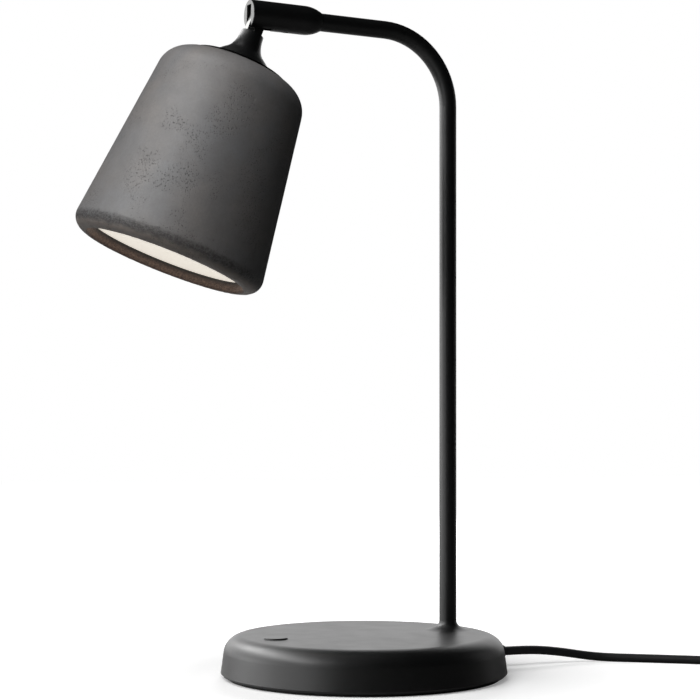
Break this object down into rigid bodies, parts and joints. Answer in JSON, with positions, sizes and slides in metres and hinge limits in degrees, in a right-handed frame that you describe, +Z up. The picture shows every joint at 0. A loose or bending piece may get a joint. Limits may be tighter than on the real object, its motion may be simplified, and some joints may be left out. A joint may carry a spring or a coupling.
{
  "type": "table lamp",
  "caption": "Table lamp with a tilting bell-shaped concrete shade on a bent steel arm, round weighted base, push dimmer and mains lead.",
  "frame": {"origin": "centre of the foot pad's underside, on the table", "axes": "+Z up, the pole stands at +X and the arm reaches towards -X over the base, so XZ is the arm's plane"},
  "size_m": [0.5288, 0.2631, 0.45],
  "materials": {
    "powder_coat": "satin black powder coat",
    "concrete": "matte cast concrete with fine pores",
    "opal_diffuser": "matte opal",
    "bare_steel": "brushed",
    "zinc_steel": "zinc plated",
    "cast_ballast": "as cast",
    "sink_aluminium": "machined",
    "foot_rubber": "matte",
    "cord_rubber": "matte black sheath",
    "plug_plastic": "fine textured",
    "pin_brass": "nickel-tinted brass",
    "tie_fabric": "woven hook-and-loop",
    "wire_sleeve": "smooth",
    "circuit_board": "solder mask",
    "led_phosphor": "phosphor",
    "white_plastic": "moulded",
    "dark_plastic": "moulded"
  },
  "bodies": {
    "stand": {"foot_pad": "foot_rubber", "base_body": "powder_coat", "base_cover": "zinc_steel", "cover_screws": "zinc_steel", "ballast_plate": "cast_ballast", "ballast_screws": "zinc_steel", "pole_foot": "powder_coat", "pole_washer": "zinc_steel", "pole_nut": "zinc_steel", "pole_tube": "powder_coat", "arm_end_plug": "bare_steel", "pole_wire": "wire_sleeve", "button_spring": "bare_steel", "dimmer_board": "circuit_board", "board_screws": "zinc_steel", "tact_switch": "dark_plastic", "led_driver": "white_plastic", "driver_screws": "zinc_steel", "terminal_block": "white_plastic", "cord_gland": "cord_rubber", "cord_inner": "cord_rubber", "cord_clamp": "dark_plastic", "clamp_screws": "zinc_steel", "cord_lead": "cord_rubber", "cord_tail": "cord_rubber", "cord_coil": "cord_rubber", "coil_tie": "tie_fabric", "plug_relief": "cord_rubber", "plug_body": "plug_plastic", "plug_pins": "pin_brass"},
    "button": {"dimmer_button": "powder_coat"},
    "barrel": {"joint_barrel": "powder_coat", "set_screw": "bare_steel", "swivel_brake": "white_plastic", "hinge_pin": "bare_steel", "friction_washers": "white_plastic"},
    "head": {"knuckle": "powder_coat", "head_wire": "wire_sleeve", "neck_cap": "powder_coat", "neck_gasket": "foot_rubber", "shade_shell": "concrete", "inner_washer": "zinc_steel", "lock_nut": "zinc_steel", "sink_nut": "zinc_steel", "heat_sink": "sink_aluminium", "led_board": "circuit_board", "led_chips": "led_phosphor", "reflector": "white_plastic", "sink_screws": "zinc_steel", "diffuser": "opal_diffuser"}
  },
  "joints": [
    {"name": "dimmer_press", "type": "slide", "parent": "stand", "child": "button", "axis": [0, 0, -1], "range_m": [0, 0.001], "stiffness_N_per_m": 800, "springref_m": -0.002, "deforming": ["button_spring"]},
    {"name": "head_swivel", "type": "hinge", "parent": "stand", "child": "barrel", "pos_m": [-0.0575, 0, 0.4405], "axis": [1, 0, 0], "range_deg": [-94.7, 85.3]},
    {"name": "head_tilt", "type": "hinge", "parent": "barrel", "child": "head", "pos_m": [-0.0762, 0, 0.4405], "axis": [0, 0.9967, 0.0812], "range_deg": [-35.3, 69.7]}
  ]
}
